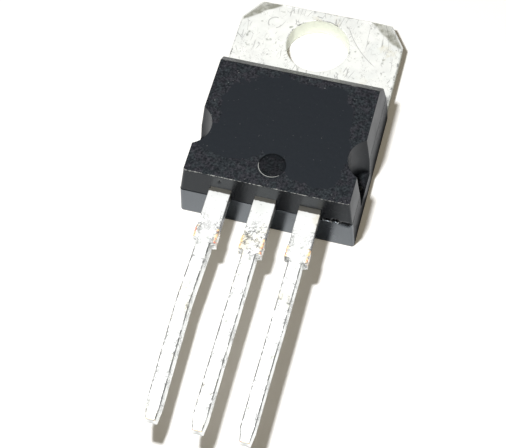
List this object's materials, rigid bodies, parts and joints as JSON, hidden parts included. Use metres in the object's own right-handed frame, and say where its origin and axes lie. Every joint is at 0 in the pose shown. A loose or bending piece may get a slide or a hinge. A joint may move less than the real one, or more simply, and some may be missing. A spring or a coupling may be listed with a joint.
{
  "type": "voltage regulator",
  "caption": "Through-hole linear voltage regulator: black moulded body on a drilled metal heat tab, with flat tinned leads in a row.",
  "frame": {"origin": "centre of the tab's mounting hole on the metal back plane", "axes": "+Z out of the front face of the moulding, away from the metal back; +Y towards the tab's free end; the leads run to -Y; X across the leads, input lead on -X, output lead on +X"},
  "size_m": [0.0104, 0.029, 0.0044],
  "materials": {
    "mould_compound": "black epoxy moulding compound, fine rough front, smoother sides",
    "plated_tab": "matte tin-plated copper, lightly scratched",
    "plated_lead": "bright tin-plated copper with bare copper at the sheared tie-bar edges",
    "silicon": "polished silicon",
    "solder": "soft solder layer",
    "bond_wire": "drawn aluminium wire"
  },
  "bodies": {
    "root": {"mould_body": "mould_compound", "heat_tab": "plated_tab", "input_lead": "plated_lead", "output_lead": "plated_lead", "regulator_chip": "silicon", "chip_solder": "solder", "input_bond_wire": "bond_wire", "output_bond_wire": "bond_wire", "ground_bond_wire": "bond_wire"}
  },
  "joints": []
}
